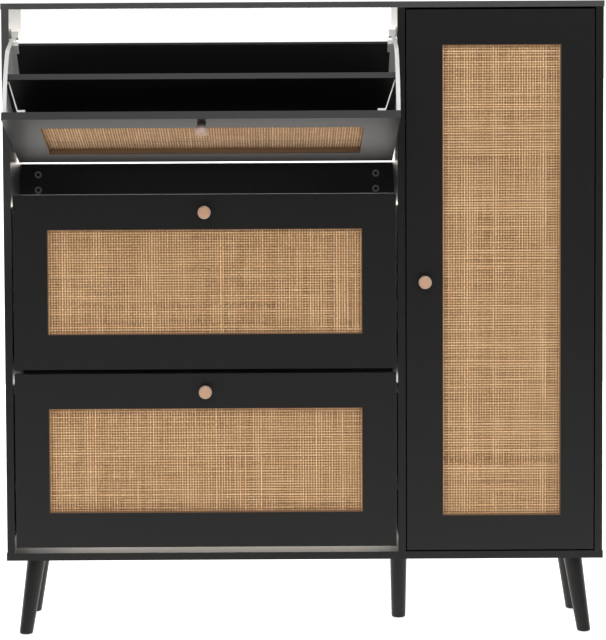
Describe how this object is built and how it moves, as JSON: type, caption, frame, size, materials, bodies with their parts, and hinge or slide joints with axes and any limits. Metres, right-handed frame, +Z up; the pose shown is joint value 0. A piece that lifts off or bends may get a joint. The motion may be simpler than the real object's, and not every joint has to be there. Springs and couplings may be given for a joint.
{
  "type": "shoe cabinet",
  "caption": "Free-standing shoe cabinet on tapered legs, with flip-down drawers beside a tall hinged door, woven rattan fronts and round knobs.",
  "frame": {"origin": "on the floor at the centre of the middle leg's foot", "axes": "+X to the right seen from the front, +Y to the back, +Z up"},
  "size_m": [1.2, 0.4368, 1.274],
  "materials": {
    "board": "satin black laminate",
    "hardboard": "matt black",
    "rattan": "natural woven cane",
    "white_plastic": "moulded",
    "grey_plastic": "moulded",
    "zinc": "zinc plated",
    "knob": "lacquered",
    "leg": "satin black lacquer"
  },
  "bodies": {
    "cabinet": {"bottom_panel": "board", "cam_bolts": "zinc", "cam_locks": "zinc", "divider_panel": "board", "drawer_stops": "grey_plastic", "hinge_arms": "zinc", "hinge_plates": "zinc", "left_side_panel": "board", "leg_bolts": "zinc", "leg_front_left": "leg", "leg_front_right": "leg", "leg_middle": "leg", "leg_rear_left": "leg", "leg_rear_right": "leg", "lower_rail": "board", "pivot_brackets": "grey_plastic", "right_back_sheet": "hardboard", "right_side_panel": "board", "shelf_1": "board", "shelf_2": "board", "shelf_3": "board", "shelf_4": "board", "shelf_pegs": "zinc", "top_panel": "board", "upper_rail": "board"},
    "top_drawer": {"top_drawer_backing": "hardboard", "top_drawer_floor_board": "board", "top_drawer_front_frame": "board", "top_drawer_knob": "knob", "top_drawer_middle_board": "board", "top_drawer_rattan": "rattan", "top_drawer_rear_board": "hardboard", "top_drawer_side_frame_left": "white_plastic", "top_drawer_side_frame_right": "white_plastic"},
    "middle_drawer": {"middle_drawer_backing": "hardboard", "middle_drawer_floor_board": "board", "middle_drawer_front_frame": "board", "middle_drawer_knob": "knob", "middle_drawer_middle_board": "board", "middle_drawer_rattan": "rattan", "middle_drawer_rear_board": "hardboard", "middle_drawer_side_frame_left": "white_plastic", "middle_drawer_side_frame_right": "white_plastic"},
    "bottom_drawer": {"bottom_drawer_backing": "hardboard", "bottom_drawer_floor_board": "board", "bottom_drawer_front_frame": "board", "bottom_drawer_knob": "knob", "bottom_drawer_middle_board": "board", "bottom_drawer_rattan": "rattan", "bottom_drawer_rear_board": "hardboard", "bottom_drawer_side_frame_left": "white_plastic", "bottom_drawer_side_frame_right": "white_plastic"},
    "door": {"door_backing": "hardboard", "door_front_frame": "board", "door_knob": "knob", "door_rattan": "rattan", "hinge_cups": "zinc", "hinge_pins": "zinc"}
  },
  "joints": [
    {"name": "door_hinge", "type": "hinge", "parent": "cabinet", "child": "door", "pos_m": [0.365, -0.1385, 0.71475], "axis": [0, 0, 1], "range_deg": [0, 95]},
    {"name": "bottom_drawer_flip", "type": "hinge", "parent": "cabinet", "child": "bottom_drawer", "pos_m": [-0.3935, -0.109, 0.3], "axis": [1, 0, 0], "range_deg": [0, 73]},
    {"name": "middle_drawer_flip", "type": "hinge", "parent": "cabinet", "child": "middle_drawer", "pos_m": [-0.3935, -0.109, 0.6604], "axis": [1, 0, 0], "range_deg": [0, 73]},
    {"name": "top_drawer_flip", "type": "hinge", "parent": "cabinet", "child": "top_drawer", "pos_m": [-0.3935, -0.109, 1.0208], "axis": [1, 0, 0], "range_deg": [-73, 0]}
  ]
}
